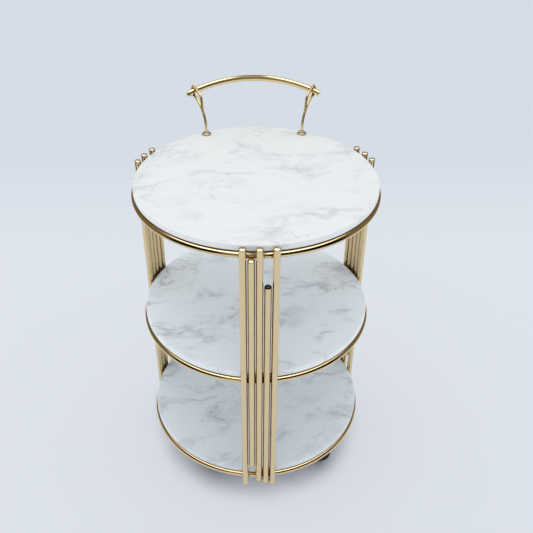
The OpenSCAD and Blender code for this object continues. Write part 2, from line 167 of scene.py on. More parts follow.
def honedMarble():
    # honed white marble: soft grey clouds, blurred veins that come and go, and a few hairlines
    finish = {"topWhite": "F3F4F2", "middleWhite": "F5FAFB", "bottomWhite": "E6EDF0", "cloud": "C6C9CC",
              "vein": "A9ABAF", "sawn": "B0B3B7", "roughness": (0.34, 0.42), "contrast": (1.25, 0.75)}
    pattern = {"lean": radians(-28), "stretch": (1.0, 1.5, 1.0), "offset": (0.37, 0.11, 0),
               "warp": 190 * mm, "bend": 120 * mm, "cloud": 70 * mm, "drift": 130 * mm,
               "vein": 240 * mm, "veinThin": 0.03, "wisp": 80 * mm, "wispThin": 0.06,
               "hair": 300 * mm, "hairThin": 0.006}
    strength = {"vein": 0.62, "wisp": 0.5, "hair": 0.5, "cloud": 0.8}
    material, tree, shader, place = startMaterial("honed white marble")
    turned = addNode(tree, "ShaderNodeMapping", inputs={
        "Vector": place, "Rotation": (0, 0, pattern["lean"]), "Scale": pattern["stretch"],
        "Location": pattern["offset"]}).outputs["Vector"]
    warp = addNoise(tree, turned, pattern["warp"], 4)["Color"]
    centred = addNode(tree, "ShaderNodeVectorMath", {"operation": "SUBTRACT"}, {
        0: warp, 1: (0.5, 0.5, 0.5)})
    bent = addNode(tree, "ShaderNodeVectorMath", {"operation": "MULTIPLY_ADD"}, {
        0: centred.outputs["Vector"], 1: (pattern["bend"],) * 3, 2: turned}).outputs["Vector"]

    def product(*values):
        total = values[0]
        for value in values[1:]:
            total = calculate(tree, "MULTIPLY", total, value)
        return total

    def ridge(kind, detail):
        # a thin line wherever the noise crosses its middle value
        noise = addNoise(tree, bent, pattern[kind], detail, 0.56)["Fac"]
        away = calculate(tree, "ABSOLUTE", calculate(tree, "SUBTRACT", noise, 0.5))
        return mapRange(tree, away, 0, pattern[kind + "Thin"], 1, 0)

    def patches(kind, low, high, detail):
        return mapRange(tree, addNoise(tree, bent, pattern[kind], detail, 0.66)["Fac"], low, high, 0, 1)

    # the slabs differ: the top one has the faintest veins, and each has its own white as painted light and
    # shade, the lower two bluer, the middle one whitest against its shade and the bottom one the greyest
    height = addNode(tree, "ShaderNodeSeparateXYZ", inputs={0: place}).outputs["Z"]

    def slabStep(lower, upper, below, above):
        # changes in the space between two discs, so each disc has one value
        clear = 100 * mm
        return mapRange(tree, height, tierHeight[lower] + clear, tierHeight[upper] - clear, below, above)

    contrast = slabStep("middle", "top", *finish["contrast"])
    # painted light and shade: each disc's white is set for how it is lit
    white = blend(tree, slabStep("bottom", "middle", 0, 1),
                  linearColour(finish["bottomWhite"]), linearColour(finish["middleWhite"]))
    white = blend(tree, slabStep("middle", "top", 0, 1), white, linearColour(finish["topWhite"]))

    drift = patches("drift", 0.44, 0.68, 2)
    veins = product(ridge("vein", 7), patches("cloud", 0.4, 0.66, 5), strength["vein"])
    wisps = product(ridge("wisp", 7), drift, patches("cloud", 0.44, 0.62, 4), strength["wisp"])
    hairs = product(ridge("hair", 6), patches("drift", 0.4, 0.6, 1), strength["hair"])
    clouds = product(patches("cloud", 0.46, 0.8, 9), drift, contrast, strength["cloud"])
    strongest = calculate(tree, "MAXIMUM", calculate(tree, "MAXIMUM", veins, wisps), hairs)
    cloudy = blend(tree, clouds, white, linearColour(finish["cloud"]))
    veined = blend(tree, product(strongest, contrast), cloudy, linearColour(finish["vein"]))

    # the face underneath is painted a darker grey, as painted shade under the disc
    normal = addNode(tree, "ShaderNodeNewGeometry").outputs["Normal"]
    facing = addNode(tree, "ShaderNodeSeparateXYZ", inputs={0: normal}).outputs["Z"]
    underneath = mapRange(tree, facing, -0.3, -0.7, 0, 1)
    setInputs(tree, shader, {
        "Base Color": blend(tree, underneath, veined, linearColour(finish["sawn"])),
        "Roughness": mapRange(tree, clouds, 0, 1, *finish["roughness"]),
        "IOR": 1.5})
    return material


def zincPlate():
    # bright zinc on fasteners: cool grey with a cloudy satin surface
    finish = {"colour": "B9BCBF", "cloud": 3 * mm, "roughness": (0.2, 0.29)}
    material, tree, shader, place = startMaterial("bright zinc plate")
    cloud = addNoise(tree, place, finish["cloud"], 3, 0.6)["Fac"]
    setInputs(tree, shader, {
        "Base Color": linearColour(finish["colour"]), "Metallic": 1,
        "Roughness": mapRange(tree, cloud, 0.3, 0.7, *finish["roughness"])})
    return material


def softClearPad():
    # clear polyurethane bumper: milky, slightly see-through, with a skin like orange peel
    finish = {"colour": "E6E7E2", "peel": 0.7 * mm, "depth": 0.03 * mm, "roughness": 0.35, "clearness": 0.5}
    material, tree, shader, place = startMaterial("clear polyurethane pad")
    peel = addNoise(tree, place, finish["peel"], 2)["Fac"]
    setInputs(tree, shader, {
        "Base Color": linearColour(finish["colour"]), "Roughness": finish["roughness"], "IOR": 1.5,
        "Transmission Weight": finish["clearness"], "Normal": bumped(tree, peel, finish["depth"], 0.5)})
    return material


def blackPowderCoat():
    # powder-coated pressed steel: satin black with the fine pebble of baked powder
    finish = {"colour": "17181A", "pebble": 0.6 * mm, "roughness": (0.34, 0.44), "depth": 0.03 * mm}
    material, tree, shader, place = startMaterial("black powder coat")
    pebble = addNoise(tree, place, finish["pebble"], 2)["Fac"]
    setInputs(tree, shader, {
        "Base Color": linearColour(finish["colour"]),
        "Roughness": mapRange(tree, pebble, 0.3, 0.7, *finish["roughness"]),
        "Normal": bumped(tree, pebble, finish["depth"], 0.7)})
    return material


def mouldedBlackNylon(name="moulded black nylon", roughness=(0.34, 0.5)):
    # injection-moulded nylon: even black with a soft sheen and a faint spark-eroded texture
    finish = {"colour": "141415", "texture": 0.9 * mm, "depth": 0.015 * mm}
    material, tree, shader, place = startMaterial(name)
    texture = addNoise(tree, place, finish["texture"], 3, 0.6)["Fac"]
    setInputs(tree, shader, {
        "Base Color": linearColour(finish["colour"]), "IOR": 1.53,
        "Roughness": mapRange(tree, texture, 0.3, 0.7, *roughness),
        "Normal": bumped(tree, texture, finish["depth"], 0.5)})
    return material


def tyreRubber():
    # thermoplastic rubber tread: dull black, dusted a little paler where it rolls
    finish = {"colour": "101011", "dust": "1F1E1D", "speck": 2.5 * mm, "depth": 0.05 * mm,
              "roughness": 0.72}
    material, tree, shader, place = startMaterial("dull tread rubber")
    specks = addNoise(tree, place, finish["speck"], 5, 0.65)["Fac"]
    dusted = blend(tree, mapRange(tree, specks, 0.45, 0.75, 0, 1),
                   linearColour(finish["colour"]), linearColour(finish["dust"]))
    setInputs(tree, shader, {
        "Base Color": dusted, "Roughness": finish["roughness"],
        "Normal": bumped(tree, specks, finish["depth"], 0.6)})
    return material


goldPlate = polishedGoldPlate()
# painted light: a paler copy of the gold plate for the caps and flanges, standing for brighter reflections
# on them
paleLitGold = polishedGoldPlate("pale gold plate", "E9DDBF", (0.33, 0.4))
# painted light: a brighter, yellower copy of the gold plate for the handle supports
brightLitWireGold = polishedGoldPlate("yellow gold plate on drawn wire", "F6DC9A", (0.33, 0.4))
dullGold = satinGoldPlate()
marble = honedMarble()
zinc = zincPlate()
clearPad = softClearPad()
powderCoat = blackPowderCoat()
nylon = mouldedBlackNylon()
plugPlastic = mouldedBlackNylon("glossy black plug", (0.12, 0.2))
rubber = tyreRubber()
print("materials made")


# mesh helpers: outlines turned about Z, outlines extruded, and cuts

def arc(centreR, centreZ, radius, fromDegrees, toDegrees, steps=8):
    turns = [radians(fromDegrees + (toDegrees - fromDegrees) * k / steps) for k in range(steps + 1)]
    return [(centreR + radius * cos(t), centreZ + radius * sin(t)) for t in turns]


def finishMesh(shape, name, sharpAbove=35):
    bmesh.ops.remove_doubles(shape, verts=shape.verts, dist=1e-7)
    bmesh.ops.recalc_face_normals(shape, faces=shape.faces)
    mesh = bpy.data.meshes.new(name)
    shape.to_mesh(mesh)
    shape.free()
    for face in mesh.polygons:
        face.use_smooth = True
    mesh.set_sharp_from_angle(angle=radians(sharpAbove))
    return mesh


def turnedMesh(name, outline, sides=64, loop=False):
    shape = bmesh.new()
    rings = []
    for radius, height in outline:
        turns = [2 * pi * k / sides for k in range(sides if radius > 1e-7 else 1)]
        rings.append([shape.verts.new((radius * cos(t), radius * sin(t), height)) for t in turns])
    for low, high in list(zip(rings, rings[1:])) + ([(rings[-1], rings[0])] if loop else []):
        for k in range(sides):
            after = (k + 1) % sides
            around = (low[k % len(low)], low[after % len(low)],
                      high[after % len(high)], high[k % len(high)])
            face = list(dict.fromkeys(around))
            if len(face) > 2:
                shape.faces.new(face)
    return finishMesh(shape, name)


def plateMesh(name, outline, low, high, edge=0.0, flat="XY"):
    # a flat outline given thickness, with its edges eased; XZ stands the outline up, its thickness along Y
    shape = bmesh.new()
    bottom = [shape.verts.new((x, y, low)) for x, y in outline]
    top = [shape.verts.new((x, y, high)) for x, y in outline]
    shape.faces.new(bottom)
    shape.faces.new(top)
    for k in range(len(outline)):
        after = (k + 1) % len(outline)
        shape.faces.new((bottom[k], bottom[after], top[after], top[k]))
    if edge:
        rims = [e for e in shape.edges if len({round(v.co.z, 7) for v in e.verts}) == 1]
        bmesh.ops.bevel(shape, geom=rims, offset=edge, segments=3, profile=0.5, affect="EDGES")
    if flat == "XZ":
        bmesh.ops.rotate(shape, verts=shape.verts, matrix=Matrix.Rotation(pi / 2, 3, "X"))
    return finishMesh(shape, name)


def standIn(name, mesh):
    piece = bpy.data.objects.new(name, mesh)
    bpy.context.scene.collection.objects.link(piece)
    return piece


def plainMesh(piece):
    # what the modifiers make, as a mesh without them
    depsgraph = bpy.context.evaluated_depsgraph_get()
    return bpy.data.meshes.new_from_object(piece.evaluated_get(depsgraph), depsgraph=depsgraph)


def cutMesh(mesh, tool, operation="DIFFERENCE"):
    body, cutter = standIn("cut body", mesh), standIn("cutter", tool)
    boolean = body.modifiers.new("cut", "BOOLEAN")
    boolean.operation, boolean.object, boolean.solver = operation, cutter, "EXACT"
    result = plainMesh(body)
    shape = bmesh.new()
    shape.from_mesh(result)
    # the cut leaves a few slivers thinner than this
    sliver = 0.002 * mm
    bmesh.ops.remove_doubles(shape, verts=shape.verts, dist=sliver)
    bmesh.ops.dissolve_degenerate(shape, edges=shape.edges, dist=sliver)
    shape.to_mesh(result)
    shape.free()
    result.set_sharp_from_angle(angle=radians(30))
    for spare in (body, cutter):
        bpy.data.objects.remove(spare)
    return result


def joinMeshes(name, *meshes):
    shape = bmesh.new()
    for mesh in meshes:
        shape.from_mesh(mesh)
    joined = bpy.data.meshes.new(name)
    shape.to_mesh(joined)
    shape.free()
    return joined


def pathMesh(name, paths, loop=False, thickness=None):
    # each path is a chain of edges; thickness scales the bar's radius at each point
    points = [tuple(point) for path in paths for point in path]
    edges, start = [], 0
    for path in paths:
        edges += [(start + k, start + k + 1) for k in range(len(path) - 1)]
        if loop:
            edges.append((start + len(path) - 1, start))
        start += len(path)
    mesh = bpy.data.meshes.new(name)
    mesh.from_pydata(points, edges, [])
    scale = mesh.attributes.new("thickness", "FLOAT", "POINT")
    scale.data.foreach_set("value", thickness or [1.0] * len(points))
    return mesh


def pointMesh(name, points, turns=None, headings=None):
    # points that carry a piece each, tipped about X by its turn and then about Z by its heading
    mesh = bpy.data.meshes.new(name)
    mesh.from_pydata([tuple(point) for point in points], [], [])
    for label, values in (("turn", turns), ("heading", headings)):
        attribute = mesh.attributes.new(label, "FLOAT", "POINT")
        attribute.data.foreach_set("value", values or [0.0] * len(points))
    return mesh


# node trees for what follows a path, goes round a hoop or repeats at points

def startTree(name, *sockets):
    tree = bpy.data.node_groups.new(name, "GeometryNodeTree")
    for label, kind in (("Geometry", "Geometry"),) + sockets + (("Finish", "Material"),):
        tree.interface.new_socket(label, in_out="INPUT", socket_type="NodeSocket" + kind)
    tree.interface.new_socket("Geometry", in_out="OUTPUT", socket_type="NodeSocketGeometry")
    return tree, tree.nodes.new("NodeGroupInput").outputs


def endTree(tree, given, shape):
    real = addNode(tree, "GeometryNodeRealizeInstances", inputs={0: shape})
    finished = addNode(tree, "GeometryNodeSetMaterial", inputs={
        "Geometry": real.outputs[0], "Material": given["Finish"]})
    addNode(tree, "NodeGroupOutput", inputs={"Geometry": finished.outputs["Geometry"]})
    return tree


def namedValue(tree, label):
    return addNode(tree, "GeometryNodeInputNamedAttribute", {"data_type": "FLOAT"}, {
        "Name": label}).outputs["Attribute"]


def turnedCopies(tree, points, base, turn, heading):
    # a copy at each point, tipped about X and then turned about Z
    euler = addNode(tree, "ShaderNodeCombineXYZ", inputs={"X": turn, "Z": heading})
    rotation = addNode(tree, "FunctionNodeEulerToRotation", inputs={0: euler.outputs[0]})
    return addNode(tree, "GeometryNodeInstanceOnPoints", inputs={
        "Points": points, "Instance": base, "Rotation": rotation.outputs[0]}).outputs["Instances"]


def barAlongPathTree():
    tree, given = startTree("bar along path", ("Bar Radius", "Float"), ("Sides", "Int"))
    path = addNode(tree, "GeometryNodeMeshToCurve", inputs={"Mesh": given["Geometry"]})
    section = addNode(tree, "GeometryNodeCurvePrimitiveCircle", inputs={
        "Resolution": given["Sides"], "Radius": given["Bar Radius"]})
    bar = addNode(tree, "GeometryNodeCurveToMesh", inputs={
        "Curve": path.outputs["Curve"], "Profile Curve": section.outputs["Curve"],
        "Scale": namedValue(tree, "thickness"), "Fill Caps": True})
    smooth = addNode(tree, "GeometryNodeSetShadeSmooth", inputs={"Geometry": bar.outputs["Mesh"]})
    return endTree(tree, given, smooth.outputs["Geometry"])


def roundHoopTree():
    tree, given = startTree("copies round a hoop", ("Count", "Int"), ("First Angle", "Float"),
                            ("Step Angle", "Float"), ("Centre", "Vector"))
    points = addNode(tree, "GeometryNodePoints", inputs={
        "Count": given["Count"], "Position": given["Centre"]}).outputs[0]
    index = addNode(tree, "GeometryNodeInputIndex").outputs["Index"]
    angle = calculate(tree, "MULTIPLY_ADD", index, given["Step Angle"], given["First Angle"])
    return endTree(tree, given, turnedCopies(tree, points, given["Geometry"], 0, angle))


def atPointsTree():
    tree, given = startTree("pieces at points", ("Piece", "Object"))
    base = addNode(tree, "GeometryNodeObjectInfo", inputs={"Object": given["Piece"]}).outputs["Geometry"]
    turn, heading = namedValue(tree, "turn"), namedValue(tree, "heading")
    return endTree(tree, given, turnedCopies(tree, given["Geometry"], base, turn, heading))


barAlongPath = barAlongPathTree()
roundHoop = roundHoopTree()
atPoints = atPointsTree()


def runTree(name, tree, base, finish, **inputs):
    # inputs are named as the tree's sockets, without their spaces
    piece = standIn(name, base)
    modifier = piece.modifiers.new("shape", "NODES")
    modifier.node_group = tree
    inputs["Finish"] = finish
    for socket in tree.interface.items_tree:
        label = socket.name.replace(" ", "")
        if socket.in_out == "INPUT" and label in inputs:
            modifier[socket.identifier] = inputs[label]
    mesh = plainMesh(piece)
    piece.modifiers.clear()
    shape = bmesh.new()
    shape.from_mesh(mesh)
    piece.data = finishMesh(shape, name)
    piece.data.materials.append(finish)
    return piece


def finishPiece(piece, body, slot, *nodes):
    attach(piece, body)
    if nodes:
        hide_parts(*nodes)
    return piece


def meshPiece(name, mesh, finish):
    mesh.name = name
    mesh.materials.clear()
    mesh.materials.append(finish)
    return standIn(name, mesh)


# hoops: one closed round bar each, butt-welded and polished flush

hoop = {"radius": 219 * mm, "barRadius": 6 * mm, "points": 288, "sides": 40}


def ringPoint(radius, azimuth, height):
    # azimuth 0 is the front, turning towards the right
    return Vector((hoopAxis.x + radius * sin(azimuth), hoopAxis.y - radius * cos(azimuth), height))


for tier in tiers:
    turns = [2 * pi * k / hoop["points"] for k in range(hoop["points"])]
    ring = [ringPoint(hoop["radius"], t, tierHeight[tier]) for t in turns]
    piece = runTree(tier + "Hoop", barAlongPath, pathMesh("ring path", [ring], loop=True), goldPlate,
                    BarRadius=hoop["barRadius"], Sides=hoop["sides"])
    finishPiece(piece, "trolley_frame", "polished_gold", tier + "_hoop")
print("hoops bent")


# marble discs: honed faces with softly eased edges, resting on three pads

disc = {"radius": 221 * mm, "thickness": 12 * mm, "ease": 2.5 * mm, "margin": 1.5 * mm, "seat": 7 * mm,
        "sides": 192}


def discOutline(radius, thickness, ease, margin):
    # the margin rings keep the large faces flat beside the eased edge
    flat = [0, radius / 2, radius - ease - margin]
    outline = [(r, 0) for r in flat]
    outline += arc(radius - ease, ease, ease, -90, 0)
    outline += arc(radius - ease, thickness - ease, ease, 0, 90)
    return outline + [(r, thickness) for r in reversed(flat)]


for tier in tiers:
    outline = discOutline(disc["radius"], disc["thickness"], disc["ease"], disc["margin"])
    mesh = turnedMesh(tier + "Disc", outline, disc["sides"])
    mesh.transform(Matrix.Translation(hoopAxis + Vector((0, 0, tierHeight[tier] + disc["seat"]))))
    finishPiece(meshPiece(tier + "Disc", mesh, marble), "trolley_frame", "white_marble", tier + "_disc")
print("marble cut")


# tabs under the discs, with their pads and screws

tab = {"length": 18 * mm, "width": 16 * mm, "thickness": 3 * mm, "corner": 3 * mm, "edge": 0.4 * mm,
       "weldGap": 0.1 * mm, "firstAngle": radians(60 - 90), "stepAngle": radians(120), "count": 3}
pad = {"radius": 6.5 * mm, "hole": 2.1 * mm, "thickness": 1 * mm, "ease": 0.3 * mm}
barDrop = hoop["barRadius"] - tab["thickness"]
tabEnd = hoop["radius"] - sqrt(hoop["barRadius"] ** 2 - barDrop ** 2) - tab["weldGap"]
tabHole = tabEnd - tab["length"] / 2


def tongueOutline(innerX, halfWidth, corner, endRadius, steps=8):
    # a tongue whose outer end follows a circle about the hoops' axis and whose inner corners are rounded
    reach = asin(halfWidth / endRadius)
    angles = [reach * (2 * k / steps - 1) for k in range(steps + 1)]
    outer = [(endRadius * cos(a), endRadius * sin(a)) for a in angles]
    inner = arc(innerX + corner, halfWidth - corner, corner, 90, 180, 6)
    inner += arc(innerX + corner, corner - halfWidth, corner, 180, 270, 6)
    return outer + inner


def screwMesh():
    # pan-head screw, head down, with a cross recess
    screw = {"shank": 2 * mm, "head": 3.75 * mm, "rise": 2.4 * mm, "crown": 1.4 * mm, "length": 11 * mm,
             "point": 1 * mm, "slot": 1.1 * mm, "slotLength": 4.6 * mm, "slotFrom": 5 * mm,
             "slotDepth": 1.5 * mm}
    crown = screw["crown"]
    outline = [(0, -screw["rise"]), (screw["head"] * 0.55, -screw["rise"])]
    outline += arc(screw["head"] - crown, crown - screw["rise"], crown, -70, 0, 6)
    outline += [(screw["head"], 0), (screw["shank"], 0), (screw["shank"], screw["length"] - screw["point"]),
                (screw["shank"] * 0.6, screw["length"]), (0, screw["length"])]
    mesh = turnedMesh("screw", outline, 32)
    half, side = screw["slotLength"] / 2, screw["slot"] / 2
    slotOutline = [(-half, -side), (half, -side), (half, side), (-half, side)]
    for across in (0, pi / 2):
        slot = plateMesh("slot", slotOutline, -screw["slotFrom"], screw["slotDepth"] - screw["rise"])
        slot.transform(Matrix.Rotation(across, 4, "Z"))
        mesh = cutMesh(mesh, slot)
    return mesh


def flatRingMesh(radius, hole, thickness, ease):
    # a pad or a washer, its outer edges eased
    outline = [(hole, 0)] + arc(radius - ease, ease, ease, -90, 0, 4)
    outline += arc(radius - ease, thickness - ease, ease, 0, 90, 4) + [(hole, thickness)]
    return turnedMesh("flat ring", outline, 48, loop=True)


tabOutline = tongueOutline(tabEnd - tab["length"], tab["width"] / 2, tab["corner"], tabEnd)
screwPlaces, padPlaces = [], []
for tier in tiers:
    centre = hoopAxis + Vector((0, 0, tierHeight[tier] + barDrop))
    base = plateMesh("tab", tabOutline, 0, tab["thickness"], edge=tab["edge"])
    piece = runTree(tier + "Tabs", roundHoop, base, dullGold, Count=tab["count"], Centre=centre,
                    FirstAngle=tab["firstAngle"], StepAngle=tab["stepAngle"])
    finishPiece(piece, "trolley_frame", "satin_gold", tier + "_tabs")
    for k in range(tab["count"]):
        azimuth = tab["firstAngle"] + pi / 2 + k * tab["stepAngle"]
        screwPlaces.append(ringPoint(tabHole, azimuth, centre.z))
        padPlaces.append(ringPoint(tabHole, azimuth, tierHeight[tier] + hoop["barRadius"]))


def copiesAt(name, base, places, finish, turns=None, headings=None):
    source = standIn("copied piece", base)
    piece = runTree(name, atPoints, pointMesh("places", places, turns, headings), finish, Piece=source)
    bpy.data.objects.remove(source)
    return piece


piece = copiesAt("tabScrews", screwMesh(), screwPlaces, zinc)
finishPiece(piece, "trolley_frame", "zinc_steel", "tab_screws")
piece = copiesAt("discPads", flatRingMesh(**pad), padPlaces, clearPad)
finishPiece(piece, "trolley_frame", "clear_rubber", "disc_pads")
print("tabs, screws and pads set")


# upright tubes: their ends are eased, so a fine dark seam shows under each cap

tube = {"radius": 6 * mm, "ease": 0.55 * mm, "endScale": 0.9, "sides": 40}
cap = {"dome": 2 * mm, "plugDome": 4 * mm, "seam": 0.5 * mm, "rimScale": 0.9, "spigot": 4.8 * mm,
       "spigotLength": 8 * mm}


def tubePath(low, high):
    # the last two rings keep the long straight wall from taking the eased end's shading
    steps = [(0, tube["endScale"]), (0.35, 0.955), (0.7, 0.988), (1, 1), (2, 1), (5, 1)]
    ends = [(low.z + t * tube["ease"], s) for t, s in steps]
    ends += [(high.z - t * tube["ease"], s) for t, s in reversed(steps)]
    centre = (low + high) / 2
    return [Vector((centre.x, centre.y, z)) for z, s in ends], [s for z, s in ends]


def domeMesh(rise):
    # domed cap, rim at the origin and dome upward
    radius, seam = tube["radius"], cap["seam"]
    curve = (radius ** 2 + (rise - seam) ** 2) / (2 * (rise - seam))
    outline = [(0, -cap["spigotLength"]), (cap["spigot"], -cap["spigotLength"]), (cap["spigot"], 0.02 * mm),
               (radius * cap["rimScale"], 0.05 * mm), (radius * 0.97, seam * 0.35), (radius, seam * 0.8)]
    outline += arc(0, rise - curve, curve, degrees(acos(radius / curve)) + 1, 90, 12)
    return turnedMesh("dome", outline, 40)


# every tube end has a gold cap but the tops of the shortest tubes, the fourth ones, which have a black plug
shortest = 4
domeBase = domeMesh(cap["dome"])
plugPlaces = []
for cluster in clusters:
    capPlaces, capTurns = [], []
    for number in (1, 2, 3, 4, 5):
        node = f"{cluster}_rod_{number}"
        low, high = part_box(node)
        points, scales = tubePath(low, high)
        path = pathMesh("tube path", [points], thickness=scales)
        piece = runTree(f"{cluster}Rod{number}", barAlongPath, path, goldPlate,
                        BarRadius=tube["radius"], Sides=tube["sides"])
        finishPiece(piece, "trolley_frame", "polished_gold", node)
        capPlaces.append(points[0])
        capTurns.append(pi)
        if number == shortest:
            plugPlaces.append(points[-1])
        else:
            capPlaces.append(points[-1])
            capTurns.append(0.0)
    piece = copiesAt(cluster + "RodCaps", domeBase, capPlaces, paleLitGold, turns=capTurns)
    finishPiece(piece, "trolley_frame", "polished_gold", cluster + "_rod_caps")
piece = copiesAt("shortRodPlugs", domeMesh(cap["plugDome"]), plugPlaces, plugPlastic)
finishPiece(piece, "trolley_frame", "black_nylon", "short_rod_plugs")
print("tubes and caps fitted")


# welds where a tube crosses a hoop: a small flat bead fills the crevice

bead = {"radial": 1.1 * mm, "across": 3.3 * mm, "up": 3.3 * mm, "pastEnd": 2 * mm}
beadMesh = turnedMesh("bead", [(0, -1)] + arc(0, 0, 1, -75, 75, 8) + [(0, 1)], 16)
beadMesh.transform(Matrix.Diagonal((bead["radial"], bead["across"], bead["up"], 1)))
beadPlaces, beadHeadings = [], []
for cluster in clusters:
    for number in (1, 2, 3, 4, 5):
        low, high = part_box(f"{cluster}_rod_{number}")
        away = (low + high) / 2 - hoopAxis
        heading = atan2(away.y, away.x)
        for tier in tiers:
            if low.z - bead["pastEnd"] < tierHeight[tier] < high.z + bead["pastEnd"]:
                touch = ringPoint(hoop["radius"] + hoop["barRadius"], heading + pi / 2, tierHeight[tier])
                beadPlaces.append(touch)
                beadHeadings.append(heading)
piece = copiesAt("rodWelds", beadMesh, beadPlaces, dullGold, headings=beadHeadings)
finishPiece(piece, "trolley_frame", "satin_gold")
print("welds laid")


# handle: a tube bent to an arc in a tilted plane, held by two wire supports that loop round it

handle = {"barRadius": 6 * mm, "arcRadius": 285 * mm, "tilt": radians(52), "endLength": 11.5 * mm,
          "rise": 72.5 * mm, "reach": 51 * mm, "footAngle": radians(180 - 27.6), "footRadius": 207 * mm,
          "supportRadius": 2.5 * mm, "bendHeight": 9 * mm, "lean": radians(78), "joinLean": radians(42),
          "endLean": radians(10), "crookRadius": 16 * mm, "loopFit": 0.15 * mm, "studLength": 18.5 * mm,
          "barSteps": 96, "barSides": 48, "supportSides": 28}
endCap = {"lip": 0.5 * mm, "thickness": 2.5 * mm, "crown": 0.15 * mm, "ease": 0.85 * mm, "rim": 0.4 * mm,
          "inset": 1.2 * mm, "spigot": 5 * mm}
loopWeld = {"radius": 2.85 * mm, "length": 4.5 * mm}
loopRun = handle["footRadius"] + handle["reach"]
loopPlace = ringPoint(loopRun, handle["footAngle"], topFace + handle["rise"])
halfArc = asin((loopPlace.x - hoopAxis.x) / handle["arcRadius"])
endArc = halfArc + handle["endLength"] / handle["arcRadius"]
upSlope = Vector((0, cos(handle["tilt"]), sin(handle["tilt"])))
arcCentre = Vector((hoopAxis.x, loopPlace.y, loopPlace.z)) - upSlope * handle["arcRadius"] * cos(halfArc)


def onBar(angle):
    return arcCentre + handle["arcRadius"] * (Vector((sin(angle), 0, 0)) + upSlope * cos(angle))


barPoints = [onBar(endArc * (2 * k / handle["barSteps"] - 1)) for k in range(handle["barSteps"] + 1)]
piece = runTree("handleBar", barAlongPath, pathMesh("bar path", [barPoints]), goldPlate,
                BarRadius=handle["barRadius"], Sides=handle["barSides"])
finishPiece(piece, "trolley_frame", "polished_gold", "handle_bar")

capRadius, spigotRadius = handle["barRadius"] + endCap["lip"], handle["barRadius"] - endCap["inset"]
capEase, capRim = endCap["ease"], endCap["rim"]
capOutline = [(0, -endCap["spigot"]), (spigotRadius, -endCap["spigot"]), (spigotRadius, 0)]
capOutline += arc(capRadius - capRim, capRim, capRim, -90, 0, 4)
capOutline += arc(capRadius - capEase, endCap["thickness"] - capEase, capEase, 0, 90, 6)
capOutline += [(0, endCap["thickness"] + endCap["crown"])]
endCaps = []
for side in (-1, 1):
    mesh = turnedMesh("bar cap", capOutline, handle["barSides"])
    # known fault: on the left this axis tips up, where the end of the bar points down
    outward = side * (Vector((cos(endArc), 0, 0)) - upSlope * sin(endArc))
    facing = outward.to_track_quat("Z", "Y").to_matrix().to_4x4()
    mesh.transform(Matrix.Translation(onBar(side * endArc)) @ facing)
    endCaps.append(mesh)
piece = meshPiece("handleBarCaps", joinMeshes("handleBarCaps", *endCaps), goldPlate)
finishPiece(piece, "trolley_frame", "polished_gold", "handle_bar_caps")


def walk(start, moves):
    # moves start upright; each is a bend radius and its turn, or a straight length and no turn
    place, heading, points = start, 0.0, [start]
    for size, turn in moves:
        steps = 1 + int(abs(turn) / radians(5))
        stride = 2 * size * sin(abs(turn) / steps / 2) if turn else size
        for k in range(steps):
            heading += turn / steps / 2
            place = place + stride * Vector((sin(heading), cos(heading)))
            heading += turn / steps / 2
            points.append(place)
    return points


def supportPath():
    # in the support's own upright plane: x outward from the foot, y up from the disc's face
    lean, join, end, crook = handle["lean"], handle["joinLean"], handle["endLean"], handle["crookRadius"]
    foot = handle["footAngle"]
    barCross = sin(halfArc) * cos(handle["tilt"]) * sin(foot) - cos(halfArc) * cos(foot)
    loopRadius = (handle["barRadius"] + handle["supportRadius"] + handle["loopFit"]) / barCross
    straightRise = handle["rise"] - handle["bendHeight"]
    bend = (straightRise * sin(lean) - handle["reach"] * cos(lean) - loopRadius) / (1 - cos(lean))
    bar = Vector((handle["reach"], handle["rise"]))
    bendEnd = Vector((bend * (1 - cos(lean)), handle["bendHeight"] + bend * sin(lean)))
    weldPlace = Vector((bend * (1 - cos(join)), handle["bendHeight"] + bend * sin(join)))
    toOver = bar + loopRadius * Vector((-cos(lean), sin(lean))) - weldPlace
    crookTurn = lean - end
    setback = crook * tan(crookTurn / 2)
    # out under the bar, half a turn round it, back over it and down to the weld
    points = walk(Vector((0, -handle["studLength"])), [
        (handle["studLength"] + handle["bendHeight"], 0), (bend, lean),
        ((bar - bendEnd).dot(Vector((sin(lean), cos(lean)))), 0), (loopRadius, -pi),
        ((toOver.x * cos(end) - toOver.y * sin(end)) / sin(crookTurn) - setback, 0), (crook, -crookTurn),
        ((toOver.y * sin(lean) - toOver.x * cos(lean)) / sin(crookTurn) - setback, 0)])
    return points, weldPlace


supportPoints, weldPlace = supportPath()
for side, word, node in ((1, "Right", "handle_support_right"), (-1, "Left", "handle_support_left")):
    azimuth = side * handle["footAngle"]
    inPlane = [ringPoint(handle["footRadius"] + p.x, azimuth, topFace + p.y) for p in supportPoints]
    piece = runTree("handleSupport" + word, barAlongPath, pathMesh("support path", [inPlane]), brightLitWireGold,
                    BarRadius=handle["supportRadius"], Sides=handle["supportSides"])
    weld = turnedMesh("loop weld", [(0, -1)] + arc(0, 0, 1, -75, 75, 10) + [(0, 1)], 24)
    weld.transform(Matrix.Diagonal((loopWeld["radius"], loopWeld["radius"], loopWeld["length"], 1)))
    weldCentre = ringPoint(handle["footRadius"] + weldPlace.x, azimuth, topFace + weldPlace.y)
    weldTurn = Matrix.Rotation(azimuth - pi / 2, 4, "Z") @ Matrix.Rotation(handle["joinLean"], 4, "Y")
    weld.transform(Matrix.Translation(weldCentre) @ weldTurn)
    piece.data = joinMeshes("handleSupport" + word, piece.data, weld)
    piece.data.materials.append(brightLitWireGold)
    finishPiece(piece, "trolley_frame", "polished_gold", node)

flange = {"radius": 9 * mm, "thickness": 2.5 * mm, "collar": 4.2 * mm, "height": 7 * mm, "hole": 2.6 * mm,
          "foot": 0.3 * mm, "rim": 1.1 * mm, "fillet": 1.6 * mm, "lip": 0.7 * mm}


